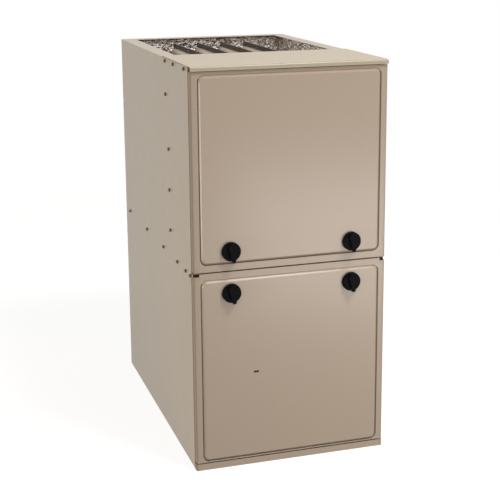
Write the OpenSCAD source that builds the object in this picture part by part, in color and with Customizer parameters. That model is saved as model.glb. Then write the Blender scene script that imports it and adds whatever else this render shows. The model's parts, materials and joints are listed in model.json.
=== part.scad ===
// Upflow forced air gas furnace: cabinet with two doors, heat exchanger above, blower below.
// X is the width, the front faces -Y, Z is up. Depths inside the modules count back from the
// flat border of the doors.

/* [Casing] */
// Width of the casing
casing_w = 444.5; // [430:0.5:533.5]
// Height of the casing
casing_h = 900; // [880:1:1080]
// Depth from the doors to the back
casing_d = 722; // [700:1:866]
// Thickness of the casing sheet
sheet_t = 1; // [0.8:0.1:1.2]
// Width of the flanges round the supply outlet
top_flange = 33; // [25:1:40]
// Depth of the top front plate
top_plate_d = 250; // [240:1:280]
// Height of the joint between the doors
joint_z = 455.5; // [446:0.5:476]

/* [Doors] */
// Depth of the doors' side returns
door_depth = 18; // [16:0.5:22]
// How far each door is inset from the casing sides
door_inset = 0.8; // [0.6:0.1:3]
// Height of the raised panels
panel_rise = 3; // [2.5:0.1:3.5]
// Flat border beside the raised panels
panel_border = 14; // [11:0.5:16]
// Corner radius of the raised panels
panel_corner_r = 15; // [13:0.5:20]
// Diameter of the door knobs
knob_d = 42; // [36:1:46]
// Half the distance between a door's knobs
knob_half_span = 139; // [120:1:160]

/* [Heat exchanger] */
// Distance between neighbouring cells
cell_pitch = 63.3; // [58:0.1:68]
// Depth of the vestibule panel
vestibule_y = 190; // [190:1:200]
// Gap from the rear end of the cells to the back
cell_back_gap = 60; // [50:1:75]

/* [Blower] */
// Diameter of the blower wheel
wheel_d = 254; // [226:1:258]
// Width of the blower wheel
wheel_w = 203; // [180:1:210]
// Number of blower wheel blades
blade_count = 44; // [36:1:48]

/* [Hidden] */
$fn = 48;
t = sheet_t;
CELLS = 4;
half_w = casing_w / 2;
inner_w = half_w - t;
grip_h = 7;
knob_h = 8;
face_y = (panel_rise + knob_h + grip_h - casing_d) / 2;
front_y = door_depth + 0.3;
wrap_z = casing_h - 2;
plate_z = casing_h - t;
front_flange = 18;
bottom_flange = 25;
bend_r = 2.5;
back_y = casing_d - t;

// front frame
deck_z = joint_z - 15.5;
rail_y = front_y + t;
rail_t = 1.5;
lip_h = 10;
lip_proud = 3.5;
lip_bend_r = 4;
rail_h = 15;
door_gap = 1.5;
rail_gap = 2.5;
upper_top_z = casing_h - lip_h - door_gap;
lower_bottom_z = rail_h + rail_gap;
upper_knob_z = joint_z + 45;
lower_knob_z = joint_z - 48;
header_h = 45;
side_flange_h = 15;

// knobs
stem_r = 5;
stem_play = 0.05;
ear_w = 9;
ear_l = 20;
ear_t = 3;
ear_y = rail_y + rail_t + 1.5;
ear_clear = 8;
pointer_angle = 16;

// screws
screw_r = 2;
head_r = 4.5;
hex_r = 3.67;

// heat exchanger
vestibule_flange = 42;
burner_z = deck_z + 105;
cell_top = casing_h - 12;
cell_bottom = deck_z + 66;
cell_y0 = vestibule_y + t;
cell_y1 = casing_d - cell_back_gap;
top_pass_z = cell_top - 26;
pass_step = (top_pass_z - burner_z) / 3;
pass_r = [26, 20, 16, 14];
seam_t = 2.4;
cell_t = 1.2;
foil_t = 12;

// burner box and gas train
box_x = 1.5 * cell_pitch + 30;
box_h = 40;
box_y = 76;
manifold_r = 10.7;
manifold_y = 62;
manifold_x = box_x - 12;
elbow_r = 20;
valve_x = manifold_x + elbow_r;
valve_w = 56;
valve_z0 = burner_z + box_h + 2;
valve_h = 80;
valve_y0 = 34;
inlet_x = valve_x + valve_w / 2 + 8;
inlet_z = valve_z0 + valve_h / 2;
gas_thread_r = 10.2;
gas_hole_r = 20;
valve_knob_r = 12;

// inducer
inducer_x = -30;
inducer_z = casing_h - 110;
inducer_y0 = 89;
inducer_y1 = 145;
inducer_r0 = 75;
inducer_step = 7;
inducer_duct = 64;
inducer_wheel_r = 62;
inducer_flange = 6;
seam_lip = 2.5;
inducer_motor_r = 42;
shaft_r = 4;
collar_x = inner_w - 71;
collar_r = 50.8;
collar_y = (inducer_y0 + inducer_y1) / 2;
collar_z = inducer_z - inducer_step / 2 - inducer_r0 - 2 * inducer_step + inducer_duct / 2;
vent_hole_r = 55;
collector_x = 1.5 * cell_pitch + 24;
collector_z0 = inducer_z - 48;
collector_z1 = casing_h - 10;
inlet_r = 35;

// electrical
jbox_y = 50;
jbox_z = deck_z + 25.5;
jbox_size = [50, 60, 58];
knockout_r = 11.1;
switch_x = 50;
switch_z = joint_z - 28;
plunger_r = 2.5;
button_r = 2.5;
button_play = 0.08;

// blower
wheel_r = wheel_d / 2;
blower_r0 = wheel_r + 14;
blower_step = 17;
blower_duct = 150;
blower_t = 1.2;
blower_w = wheel_w + 26;
blower_z = 215;
blower_y = casing_d - 292;
duct_y1 = blower_y + blower_step / 2 + blower_r0 + 2 * blower_step;
motor_r = 70;
motor_x0 = 16;
motor_l = 122;
blower_shaft_r = 6.35;
blade_t = 1;
box_back_y = 130;

CASING_TAN = [0.70, 0.64, 0.56];
DOOR_TAN = [0.74, 0.66, 0.59];
STEEL = [0.62, 0.60, 0.57];
FOIL = [0.80, 0.80, 0.82];
BLACK = [0.06, 0.06, 0.06];
BRASS = [0.72, 0.56, 0.28];
WHITE = [0.90, 0.89, 0.86];
GREY = [0.45, 0.46, 0.48];

// ---------- helpers ----------

module at_face() {
    translate([0, face_y, 0]) children();
}

module both_sides() {
    children();
    mirror([1, 0, 0]) children();
}

// Flat outline drawn in X and Z, made a plate from y0 back by depth
module plate_xz(y0, depth) {
    translate([0, y0 + depth, 0]) rotate([90, 0, 0]) linear_extrude(depth) children();
}

module rounded_rect(w, h, r) {
    translate([-w / 2 + r, -h / 2]) square([w - 2 * r, h]);
    translate([-w / 2, -h / 2 + r]) square([w, h - 2 * r]);
    for (sx = [-1, 1], sy = [-1, 1])
        translate([sx * (w / 2 - r), sy * (h / 2 - r)]) circle(r);
}

// Sheet bent to a U: front at y = 0, legs back to y = d, outer bends of radius r
module channel_2d(w, d, r) {
    difference() {
        channel_block_2d(w, d, r);
        translate([0, t]) channel_block_2d(w - 2 * t, d, r - t);
    }
}

module channel_block_2d(w, d, r) {
    translate([-w / 2, r]) square([w, d - r]);
    translate([-w / 2 + r, 0]) square([w - 2 * r, d]);
    for (s = [-1, 1]) translate([s * (w / 2 - r), r]) circle(r);
}

// Sheet bent to an L: leg a along +x, leg b down, outer bend at the origin
module bent_2d(a, b, r) {
    translate([r, -t]) square([a - r, t]);
    translate([0, -b]) square([t, b - r]);
    translate([r, -r]) intersection() {
        difference() {
            circle(r);
            circle(r - t);
        }
        translate([-r, 0]) square(r);
    }
}

// Fan scroll of quarter arcs round the origin, its outlet along +x at the bottom;
// g shrinks it all round
module volute_2d(r0, s, duct_h, reach, g = 0) {
    centres = [[-s / 2, s / 2], [-s / 2, -s / 2], [s / 2, -s / 2]];
    corners = [[0, 0], [-1, 0], [-1, -1]];
    circle(r0 - s / 2 - g);
    for (i = [0:2]) {
        r = r0 + i * s - g;
        translate(centres[i]) intersection() {
            circle(r);
            translate([corners[i][0] * r, corners[i][1] * r]) square(r);
        }
    }
    translate([-s / 2, -s / 2 - r0 - 2 * s + g]) square([reach + s / 2, duct_h - 2 * g]);
}

module cord(points, r) {
    for (i = [1:len(points) - 1]) hull() {
        translate(points[i - 1]) sphere(r, $fn = 8);
        translate(points[i]) sphere(r, $fn = 8);
    }
}

// Solid of revolution about an axis along +Y from the given point
module turned_y(p) {
    translate(p) rotate([-90, 0, 0]) rotate_extrude() children();
}

// Solid of revolution about an axis along +X from the given point
module turned_x(p) {
    translate(p) rotate([0, 90, 0]) rotate_extrude() children();
}

function cell_x(i) = (i - (CELLS + 1) / 2) * cell_pitch;
function pass_z(k) = burner_z + k * pass_step;

// ---------- casing ----------

SIDE_SCREWS = concat(
    [for (y = [48.8, 145.8]) [y, casing_h - 9]],
    [for (z = [casing_h - 9, casing_h - 84]) [vestibule_y + 32, z]],
    [for (k = [0:2]) [vestibule_y + 13.5, deck_z + 65 + 94.3 * k]],
    [[rail_y + rail_t + t + screw_r + 2.2, deck_z + 6]],
    [for (f = [0.091, 0.198, 0.388, 0.638, 0.93]) [f * casing_d, deck_z + 6]]);

module at_side_screws() {
    both_sides() for (p = SIDE_SCREWS)
        translate([half_w, p[0], p[1]]) rotate([0, 90, 0]) children();
}

module side_screw_holes() {
    at_side_screws() cylinder(r = screw_r, h = 8, center = true, $fn = 20);
}

module casing_wrap() {
    at_face() color(CASING_TAN) difference() {
        union() {
            linear_extrude(wrap_z) translate([0, casing_d]) mirror([0, 1])
                channel_2d(casing_w, casing_d - front_y, bend_r);
            both_sides() translate([inner_w - front_flange, front_y, 0])
                cube([front_flange + t / 2, t, wrap_z]);
            flange_frame(wrap_z - t, top_flange, top_plate_d + 0.5);
            flange_frame(0, bottom_flange, front_y);
        }
        translate([-half_w, 0, wrap_z - 0.5]) cube([casing_w, top_plate_d + 0.5, 1]);
        side_screw_holes();
        translate([half_w, manifold_y, inlet_z]) rotate([0, 90, 0])
            cylinder(r = gas_hole_r, h = 6, center = true);
        translate([half_w, collar_y, collar_z]) rotate([0, 90, 0])
            cylinder(r = vent_hole_r, h = 6, center = true);
        translate([half_w, jbox_y + jbox_size[1] / 2, jbox_z + jbox_size[2] / 2])
            rotate([0, 90, 0]) cylinder(r = knockout_r, h = 6, center = true);
    }
}

// Inturned flanges along the sides, from y0 back, and along the back
module flange_frame(z, width, y0) {
    both_sides() translate([inner_w - width, y0, z])
        cube([width + t / 2, casing_d - y0 - bend_r, t]);
    translate([-inner_w, casing_d - t - width, z]) cube([2 * inner_w, width + t / 2, t]);
}

module base_pan() {
    margin = bottom_flange + 6;
    y0 = front_y + 2 * t;
    w = 2 * inner_w - 0.4;
    d = back_y - y0 - 0.2;
    at_face() color(CASING_TAN) translate([0, y0 + d / 2, t]) {
        linear_extrude(t) difference() {
            square([w, d], center = true);
            square([w - 2 * margin, d - 2 * margin], center = true);
        }
        linear_extrude(12) difference() {
            square([w - 2 * margin + 2 * t, d - 2 * margin + 2 * t], center = true);
            square([w - 2 * margin, d - 2 * margin], center = true);
        }
    }
}

module base_rail() {
    depth = front_y - 0.3;
    at_face() color(DOOR_TAN) {
        linear_extrude(rail_h) channel_2d(casing_w, depth, 3);
        for (z = [0, rail_h - t]) translate([-half_w + 3, t / 2, z])
            cube([casing_w - 6, depth - t / 2, t]);
        translate([-inner_w + bottom_flange + 0.5, depth - 1, 0])
            cube([2 * (inner_w - bottom_flange - 0.5), 24, t]);
    }
}

module top_front_panel() {
    flange_x = inner_w - top_flange - 0.5;
    at_face() color(CASING_TAN) difference() {
        union() {
            translate([-half_w, -lip_proud, casing_h]) rotate([90, 0, 90])
                linear_extrude(casing_w) bent_2d(top_plate_d + lip_proud, lip_h, lip_bend_r);
            translate([-flange_x, top_plate_d - t, cell_top + 1])
                cube([2 * flange_x, t, casing_h - cell_top - 1 - t / 2]);
            both_sides() translate([inner_w - t, rail_y + 0.5, casing_h - side_flange_h])
                cube([t, vestibule_y + vestibule_flange - rail_y - 1, side_flange_h - t / 2]);
            translate([-inner_w + t + 0.4, rail_y, casing_h - header_h])
                cube([2 * (inner_w - t - 0.4), t, header_h - t / 2]);
            translate([-inner_w + t + 0.4, rail_y, casing_h - header_h])
                cube([2 * (inner_w - t - 0.4), 12, t]);
        }
        side_screw_holes();
    }
}

module centre_rail() {
    z0 = lower_knob_z + ear_clear;
    z1 = upper_knob_z - ear_clear;
    at_face() color(CASING_TAN) difference() {
        translate([-inner_w + 0.2, rail_y, z0]) cube([2 * inner_w - 0.4, rail_t, z1 - z0]);
        translate([switch_x, rail_y, switch_z]) rotate([-90, 0, 0])
            cylinder(r = plunger_r + 1.5, h = 10, center = true);
    }
}

module blower_deck() {
    y0 = rail_y + rail_t;
    depth = back_y - bend_r - y0;
    hole_w = blower_w - 2 * blower_t - 2;
    at_face() color(STEEL) difference() {
        union() {
            translate([-inner_w + 0.1, y0, deck_z - t]) cube([2 * inner_w - 0.2, depth, t]);
            both_sides() translate([inner_w - t, y0, deck_z - t])
                cube([t, depth, side_flange_h + t]);
            translate([-inner_w + 0.1, y0, deck_z - t]) cube([2 * inner_w - 0.2, t, side_flange_h]);
        }
        translate([-hole_w / 2, duct_y1 - blower_duct + 2, deck_z - 5])
            cube([hole_w, blower_duct - 4, 10]);
        translate([harness_x, harness_y, deck_z - 5]) cylinder(r = harness_hole_r, h = 10);
        side_screw_holes();
    }
}

module casing_screws() {
    at_face() color(CASING_TAN) at_side_screws() {
        translate([0, 0, -6]) cylinder(r = screw_r, h = 6.5, $fn = 20);
        cylinder(r = head_r, h = 0.8, $fn = 24);
        cylinder(r = hex_r, h = 3.2, $fn = 6);
    }
}

// ---------- heat exchanger space ----------

module vestibule_panel() {
    flange_z0 = deck_z + side_flange_h + 1;
    flange_z1 = casing_h - side_flange_h - 1;
    at_face() color(STEEL) difference() {
        union() {
            translate([-inner_w + t + 0.3, vestibule_y, deck_z])
                cube([2 * (inner_w - t - 0.3), t, plate_z - deck_z]);
            translate([-inner_w + 0.1, vestibule_y, flange_z0])
                cube([2 * inner_w - 0.2, t, flange_z1 - flange_z0]);
            both_sides() translate([inner_w - t - 0.1, vestibule_y, flange_z0])
                cube([t, vestibule_flange, flange_z1 - flange_z0]);
            translate([-inner_w + t + 0.3, vestibule_y - 14, deck_z])
                cube([2 * (inner_w - t - 0.3), 14 + t / 2, t]);
        }
        side_screw_holes();
        for (i = [1:CELLS], k = [0, 3])
            translate([cell_x(i), vestibule_y, pass_z(k)]) rotate([-90, 0, 0])
                cylinder(r = pass_r[k] - cell_t, h = 10, center = true);
        translate([0, vestibule_y, limit_z]) rotate([-90, 0, 0])
            cylinder(r = 9.5, h = 10, center = true);
    }
}
limit_z = burner_z + 1.2 * pass_step;

// One pass of a cell: a round tube along Y, r grown by g
module pass_tube(k, y0, y1, g) {
    translate([0, y0, pass_z(k)]) rotate([-90, 0, 0]) cylinder(r = pass_r[k] + g, h = y1 - y0);
}

// The passage of a cell, from the burner end to the outlet end
module cell_passage(g) {
    back = cell_y1 - 22;
    front = cell_y0 + 16;
    pass_tube(0, cell_y0 - (g < 0 ? 1 : 0), back + g, g);
    pass_tube(1, front - g, back + g, g);
    pass_tube(2, front - g, back + g, g);
    pass_tube(3, cell_y0 - (g < 0 ? 1 : 0), back + g, g);
    for (bend = [[0, back - 20], [1, front + 16], [2, back - 14]])
        translate([0, bend[1], pass_z(bend[0])])
            cylinder(r = pass_r[bend[0] + 1] - 2 + g, h = pass_step);
}

module heat_exchanger_cell(i) {
    at_face() color(STEEL) translate([cell_x(i), 0, 0]) difference() {
        union() {
            translate([-seam_t / 2, cell_y0, cell_bottom])
                cube([seam_t, cell_y1 - cell_y0, cell_top - cell_bottom]);
            cell_passage(0);
        }
        cell_passage(-cell_t);
    }
}

module foil_panel_side() {
    y0 = vestibule_y + vestibule_flange + 1;
    at_face() color(FOIL) translate([inner_w - foil_t, y0, deck_z + side_flange_h + 1])
        cube([foil_t - 0.1, back_y - foil_t - y0, wrap_z - t - deck_z - side_flange_h - 3]);
}

module foil_insulation_right() {
    foil_panel_side();
}

module foil_insulation_left() {
    mirror([1, 0, 0]) foil_panel_side();
}

module foil_insulation_back() {
    z0 = deck_z + side_flange_h + 1;
    at_face() color(FOIL) translate([-inner_w + bend_r, back_y - foil_t + 0.1, z0])
        cube([2 * (inner_w - bend_r), foil_t - 0.2, wrap_z - t - z0 - 2]);
}

// ---------- draft inducer ----------

module collector_box() {
    h = collector_z1 - collector_z0;
    depth = vestibule_y - inducer_y1;
    mid = collector_z0 + h / 2;
    at_face() color(STEEL) difference() {
        union() {
            translate([0, 0, mid]) plate_xz(inducer_y1, depth)
                rounded_rect(2 * collector_x, h, 10);
            translate([-collector_x - 6, vestibule_y - t, collector_z0 - 8])
                cube([2 * collector_x + 12, t, h + 12]);
            translate([-collector_x + 2, inducer_y1 + 22, hose_top_z]) rotate([0, -90, 0])
                cylinder(r = 3, h = 10);
        }
        translate([0, 0, mid]) plate_xz(inducer_y1 + cell_t, depth)
            rounded_rect(2 * (collector_x - cell_t), h - 2 * cell_t, 10 - cell_t);
        translate([inducer_x, inducer_y1, inducer_z]) rotate([-90, 0, 0])
            cylinder(r = inlet_r, h = 10, center = true);
    }
}
hose_top_z = collector_z0 + 60;

module inducer_housing() {
    depth = inducer_y1 - inducer_y0;
    reach = collar_x - inducer_x;
    at_face() color(GREY) translate([inducer_x, 0, inducer_z]) difference() {
        union() {
            plate_xz(inducer_y0, depth)
                volute_2d(inducer_r0, inducer_step, inducer_duct, reach);
            plate_xz(inducer_y1 - 2.5, 2.5)
                volute_2d(inducer_r0, inducer_step, inducer_duct, reach, -inducer_flange);
            plate_xz(inducer_y0 + 12, 2.5)
                volute_2d(inducer_r0, inducer_step, inducer_duct, reach, -seam_lip);
            for (a = [0:120:240]) rotate([0, a + 30, 0])
                translate([inducer_motor_r - 6, inducer_y0 + 1, 0]) rotate([90, 0, 0])
                    cylinder(r = 4, h = 10);
        }
        plate_xz(inducer_y0 + 1.5, depth - 3)
            volute_2d(inducer_r0, inducer_step, inducer_duct, reach + 1, 1.5);
        translate([0, inducer_y0, 0]) rotate([-90, 0, 0])
            cylinder(r = shaft_r + 3, h = 10, center = true);
        translate([0, inducer_y1, 0]) rotate([-90, 0, 0])
            cylinder(r = inlet_r, h = 10, center = true);
    }
}

module inducer_motor() {
    end_y = inducer_y0 - 9;
    at_face() color(BLACK) difference() {
        union() {
            turned_y([inducer_x, end_y - 56, inducer_z])
                polygon([[0, 0], [20, 0], [24, 4], [34, 4], [38, 8], [38, 44], [34, 50],
                         [16, 50], [16, 56], [0, 56]]);
            translate([inducer_x, end_y, inducer_z]) rotate([90, 0, 0])
                cylinder(r = inducer_motor_r, h = 2);
            translate([inducer_x, end_y - 1, inducer_z]) rotate([90, 0, 0])
                cylinder(r = 30, h = 8);
        }
        translate([inducer_x, end_y + 1, inducer_z]) rotate([90, 0, 0])
            cylinder(r = shaft_r + stem_play, h = 31);
        for (a = [0:30:330]) translate([inducer_x, end_y - 44, inducer_z]) rotate([0, a, 0])
            translate([-2, 0, 36.5]) cube([4, 28, 5]);
    }
}

module inducer_shaft() {
    at_face() color(STEEL) translate([inducer_x, inducer_y0 - 37, inducer_z]) rotate([-90, 0, 0])
        cylinder(r = shaft_r, h = 73);
}

module inducer_wheel() {
    y0 = inducer_y0 + 7;
    at_face() color(STEEL) translate([inducer_x, y0, inducer_z]) rotate([-90, 0, 0])
        difference() {
            union() {
                cylinder(r = inducer_wheel_r, h = 1.5);
                cylinder(r = 9, h = 26);
                for (k = [0:15]) rotate(k * 22.5) translate([26, 0, 0]) rotate(28)
                    translate([0, -0.6, 0]) cube([36, 1.2, 26]);
            }
            translate([0, 0, -1]) cylinder(r = shaft_r, h = 40);
        }
}

module vent_collar() {
    plate = 2 * (collar_r + 7);
    reach = inner_w - 0.5 - collar_x;
    at_face() color(GREY) translate([collar_x, collar_y, collar_z]) rotate([0, 90, 0])
        difference() {
            union() {
                linear_extrude(1.5) rounded_rect(plate, plate, 8);
                cylinder(r = collar_r + 1, h = reach);
            }
            translate([0, 0, 1.5]) cylinder(r = collar_r, h = reach);
            linear_extrude(10, center = true)
                square([inducer_duct - 3, inducer_y1 - inducer_y0 - 3], center = true);
        }
}

// ---------- burners and gas train ----------

module burner_box() {
    w = 2 * box_x;
    depth = vestibule_y - box_y;
    saddle_y = box_y + 60;
    at_face() color(STEEL) translate([0, 0, burner_z]) difference() {
        union() {
            difference() {
                translate([-box_x, box_y, -box_h]) cube([w, depth, 2 * box_h]);
                translate([-box_x + t, box_y + t, -box_h + t]) cube([w - 2 * t, depth, 2 * box_h]);
            }
            translate([-box_x + t / 2, saddle_y, -box_h + t / 2]) cube([w - t, t, box_h - 12]);
            both_sides() translate([box_x - 19, manifold_y - 14, -15])
                cube([t, box_y - manifold_y + 14.5, 30]);
        }
        for (i = [1:CELLS]) translate([cell_x(i), box_y, 0]) rotate([-90, 0, 0]) {
            cylinder(r = 9, h = 10, center = true);
            translate([0, 0, 50]) cylinder(r = 14, h = 20);
        }
        translate([-box_x, manifold_y, 0]) rotate([0, 90, 0]) cylinder(r = manifold_r, h = w);
        translate([box_x - 5, sensor_y, 0]) rotate([0, 90, 0]) cylinder(r = 5, h = 10);
        translate([cell_x(1) - 12, igniter_y, -box_h - 1]) cube([24, 10, 10]);
    }
}
sensor_y = vestibule_y - 14;
igniter_y = vestibule_y - 19;

// In-shot burner: flared inlet, venturi tube, flame head with a slotted carry-over wing each side
module burner(i) {
    wing = min(cell_pitch / 2, box_x - t - cell_x(CELLS)) - 0.6;
    at_face() color(STEEL) {
        turned_y([cell_x(i), box_y + 9, burner_z])
            polygon([[20, 0], [21, 0], [19, 8], [14, 18], [14, 70], [22, 82], [22, 86], [21, 86],
                     [20.8, 82.4], [13, 71], [13, 17.6], [18, 8]]);
        translate([cell_x(i), box_y + 9, burner_z]) both_sides() difference() {
            translate([21.4, 82.5, -3]) cube([wing - 21.4, 3.5, 6]);
            translate([23, 82, -1]) cube([wing, 5, 2]);
        }
    }
}

module gas_manifold() {
    at_face() color(BLACK) difference() {
        union() {
            translate([-manifold_x, manifold_y, burner_z]) rotate([0, 90, 0])
                cylinder(r = manifold_r, h = 2 * manifold_x);
            translate([-manifold_x - 8, manifold_y, burner_z]) rotate([0, 90, 0])
                cylinder(r = manifold_r + 3, h = 12);
            translate([manifold_x, manifold_y, burner_z + elbow_r]) rotate([-90, 0, 0])
                rotate_extrude(angle = 90) translate([elbow_r, 0]) circle(manifold_r);
            translate([valve_x, manifold_y, burner_z + elbow_r])
                cylinder(r = manifold_r, h = valve_z0 - burner_z - elbow_r);
        }
        for (i = [1:CELLS]) translate([cell_x(i), manifold_y, burner_z]) rotate([-90, 0, 0])
            cylinder(r = 4, h = manifold_r + 1);
    }
}

module gas_orifices() {
    at_face() color(BRASS) for (i = [1:CELLS])
        translate([cell_x(i), manifold_y, burner_z]) rotate([-90, 0, 0]) difference() {
            union() {
                cylinder(r = 4, h = 32);
                translate([0, 0, manifold_r + 0.2]) cylinder(r = 7, h = 7, $fn = 6);
            }
            translate([0, 0, 6]) cylinder(r = 1, h = 30, $fn = 16);
        }
}

module gas_valve() {
    half = valve_w / 2;
    at_face() color(GREY) difference() {
        union() {
            translate([valve_x - half, valve_y0 + 6, valve_z0])
                cube([valve_w, 50, valve_h - 20]);
            translate([valve_x - half + 4, valve_y0, valve_z0 + 8])
                cube([valve_w - 8, 44, valve_h - 16]);
            translate([valve_x, manifold_y, valve_z0 + valve_h - 21]) cylinder(r = 18, h = 21);
            translate([valve_x + half - 1, manifold_y, inlet_z]) rotate([0, 90, 0])
                cylinder(r = 15, h = inlet_x - valve_x - half + 1, $fn = 6);
            translate([valve_x, valve_y0 + 1, inlet_z]) rotate([90, 0, 0])
                cylinder(r = 14, h = 3);
            translate([valve_x, valve_y0 + 1, inlet_z]) rotate([90, 0, 0])
                for (sx = [-1, 1], sz = [-1, 1]) translate([19 * sx, 26 * sz, 0])
                    cylinder(r = 3, h = 2.5);
            translate([valve_x - half - 5, valve_y0 + 14, inlet_z - 14]) cube([6, 24, 22]);
            for (k = [0:2]) translate([valve_x - half - 12, valve_y0 + 17 + 8 * k, inlet_z - 6])
                cube([8, 0.8, 6]);
            translate([valve_x, manifold_y, valve_z0 + valve_h - 1]) cylinder(r = 8, h = 5);
        }
        translate([inlet_x + 1, manifold_y, inlet_z]) rotate([0, -90, 0])
            cylinder(r = gas_thread_r, h = 19);
        translate([valve_x, valve_y0 + 12, inlet_z]) rotate([90, 0, 0])
            cylinder(r = 3 + stem_play, h = 20);
    }
}

module gas_valve_switch() {
    at_face() color(BLACK) translate([valve_x, valve_y0 - 2.3, inlet_z]) rotate([90, 0, 0]) {
        cylinder(r = valve_knob_r, h = 6);
        translate([-2.5, -valve_knob_r, 5]) cube([5, 2 * valve_knob_r, 5]);
        translate([0, 0, -12]) cylinder(r = 3, h = 13);
    }
}

module igniter() {
    at_face() color(WHITE) translate([cell_x(1), igniter_y + 5, burner_z - box_h]) {
        translate([-12, -5, -12]) cube([24, 10, 28]);
        for (s = [-1, 1]) translate([s * 5 - 1.2, -1.2, 15]) cube([2.4, 2.4, 26]);
        translate([-6.2, -1.2, 40]) cube([12.4, 2.4, 3]);
    }
}

module flame_sensor() {
    at_face() color(WHITE) translate([box_x, sensor_y, burner_z]) rotate([0, 90, 0]) {
        translate([0, 0, -10]) cylinder(r = 5, h = 26);
        cylinder(r = 8, h = 3, $fn = 6);
        translate([0, 0, -40]) cylinder(r = 1.6, h = 60, $fn = 20);
    }
}

module rollout_switch() {
    at_face() color(BLACK) translate([box_x, box_y + 34, burner_z + 8]) rotate([0, 90, 0])
        difference() {
            union() {
                cylinder(r = 12, h = 1.5);
                cylinder(r = 8.5, h = 11);
                for (s = [-1, 1]) translate([s * 5 - 0.4, -3, 10]) cube([0.8, 6, 9]);
            }
            translate([0, 0, 2]) cylinder(r = button_r + button_play, h = 12);
        }
}

module rollout_button() {
    at_face() color([0.7, 0.1, 0.08])
        translate([box_x + 4.5, box_y + 34, burner_z + 8]) rotate([0, 90, 0])
        cylinder(r = button_r, h = 9);
}

module rollout_switch_right() {
    rollout_switch();
}

module rollout_switch_left() {
    mirror([1, 0, 0]) rollout_switch();
}

module rollout_button_right() {
    rollout_button();
}

module rollout_button_left() {
    mirror([1, 0, 0]) rollout_button();
}

module limit_switch() {
    at_face() color(BLACK) translate([0, vestibule_y, limit_z]) rotate([90, 0, 0]) {
        cylinder(r = 17, h = 1.5);
        cylinder(r = 9, h = 13);
        translate([0, 0, -30]) cylinder(r = 9, h = 31);
        for (s = [-1, 1]) translate([s * 5 - 3, -0.4, 12]) cube([6, 0.8, 10]);
    }
}

pressure_x = -inner_w + 52;
pressure_z = collector_z0 - 50;
pressure_y = vestibule_y - 22;

module pressure_switch() {
    at_face() color(GREY) {
        turned_y([pressure_x, pressure_y - 8, pressure_z])
            polygon([[0, 0], [24, 0], [24, 3], [33, 6], [33, 12.5], [24, 15], [24, 22], [0, 22]]);
        translate([pressure_x - 30, vestibule_y - 9, pressure_z - 14]) cube([60, 9, 28]);
        translate([pressure_x, pressure_y, pressure_z + 20]) cylinder(r = 3, h = 24);
        translate([pressure_x, pressure_y - 7, pressure_z]) rotate([90, 0, 0])
            cylinder(r = 4, h = 4);
        for (k = [-1:1]) translate([pressure_x + 12 * k - 3, pressure_y - 12, pressure_z - 14])
            cube([6, 5, 0.8]);
    }
}

module pressure_hose() {
    x1 = -collector_x - 12.1;
    y1 = inducer_y1 + 22;
    bow = 1;
    at_face() color(BLACK) cord([
        [pressure_x, pressure_y, pressure_z + 48],
        [pressure_x + bow, pressure_y + bow, hose_top_z - 18],
        [pressure_x + 6, pressure_y, hose_top_z - 5],
        [pressure_x + 18, y1, hose_top_z],
        [x1, y1, hose_top_z]], 4);
}

// ---------- electrical ----------

harness_x = inner_w - 60;
harness_y = 150;
harness_hole_r = 12;

module junction_box() {
    at_face() color(STEEL) translate([inner_w - 0.1 - jbox_size[0], jbox_y, jbox_z])
        difference() {
            cube(jbox_size);
            translate([t, -1, t]) cube([jbox_size[0] - 2 * t, jbox_size[1], jbox_size[2] - 2 * t]);
            translate([jbox_size[0], jbox_size[1] / 2, jbox_size[2] / 2]) rotate([0, 90, 0])
                cylinder(r = knockout_r, h = 10, center = true);
        }
}

module control_box() {
    w = 260;
    h = deck_z - t - 150;
    at_face() color(STEEL) translate([-150, 0, 150]) {
        translate([0, box_back_y, 0]) cube([w, t, h]);
        translate([0, box_back_y, h - t]) cube([w, 16, t]);
        for (x = [0, w - t]) translate([x, box_back_y - 24, 0]) cube([t, 24.5, h - 60]);
        translate([0, box_back_y - 24, 0]) cube([w, 24.5, t]);
    }
}

// Fuse holder and the like: a block with rounded corners
module rounded_block(w, h, depth) {
    translate([w / 2, h / 2, 0]) linear_extrude(depth) rounded_rect(w, h, 2);
}

module control_board() {
    board_y = box_back_y - 8;
    at_face() color([0.10, 0.35, 0.20]) translate([-138, 0, 175]) {
        translate([0, board_y - 1.6, 0]) cube([160, 1.6, 150]);
        for (x = [8, 152], z = [8, 142]) translate([x, box_back_y, z]) rotate([90, 0, 0])
            cylinder(r = 3, h = 9, $fn = 20);
        for (k = [0:2]) translate([12 + 34 * k, board_y - 17, 100]) cube([26, 16, 30]);
        translate([20, board_y - 13, 14]) cube([90, 12, 16]);
        translate([124, board_y - 11, 20]) cube([22, 10, 90]);
        for (k = [0:7]) translate([14 + 13 * k, board_y - 12, 84]) cube([6.3, 11, 0.8]);
        for (k = [0:1]) translate([22 + 15 * k, board_y - 1, 66]) rotate([90, 0, 0])
            cylinder(r = 5.5, h = 15);
        translate([62, board_y - 5, 38]) cube([34, 4, 12]);
        translate([60, board_y - 1, 134]) rotate([90, 0, 0]) rounded_block(32, 11, 9);
        translate([sight_x + 138, board_y - 1, sight_z - 175]) rotate([90, 0, 0])
            cylinder(r = 2.5, h = 8, $fn = 20);
    }
}

module transformer() {
    at_face() color(GREY) translate([40, box_back_y - 62, 200]) {
        translate([0, 8, 0]) cube([56, 46, 58]);
        translate([28, 0, 29]) plate_xz(0, 61) rounded_rect(38, 34, 8);
        translate([-6, 60, 6]) cube([68, 2, 46]);
        for (x = [0, 56], z = [14, 44]) translate([x, 61, z]) rotate([90, 0, 0])
            cylinder(r = 3, h = 4, $fn = 6);
    }
}

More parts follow.
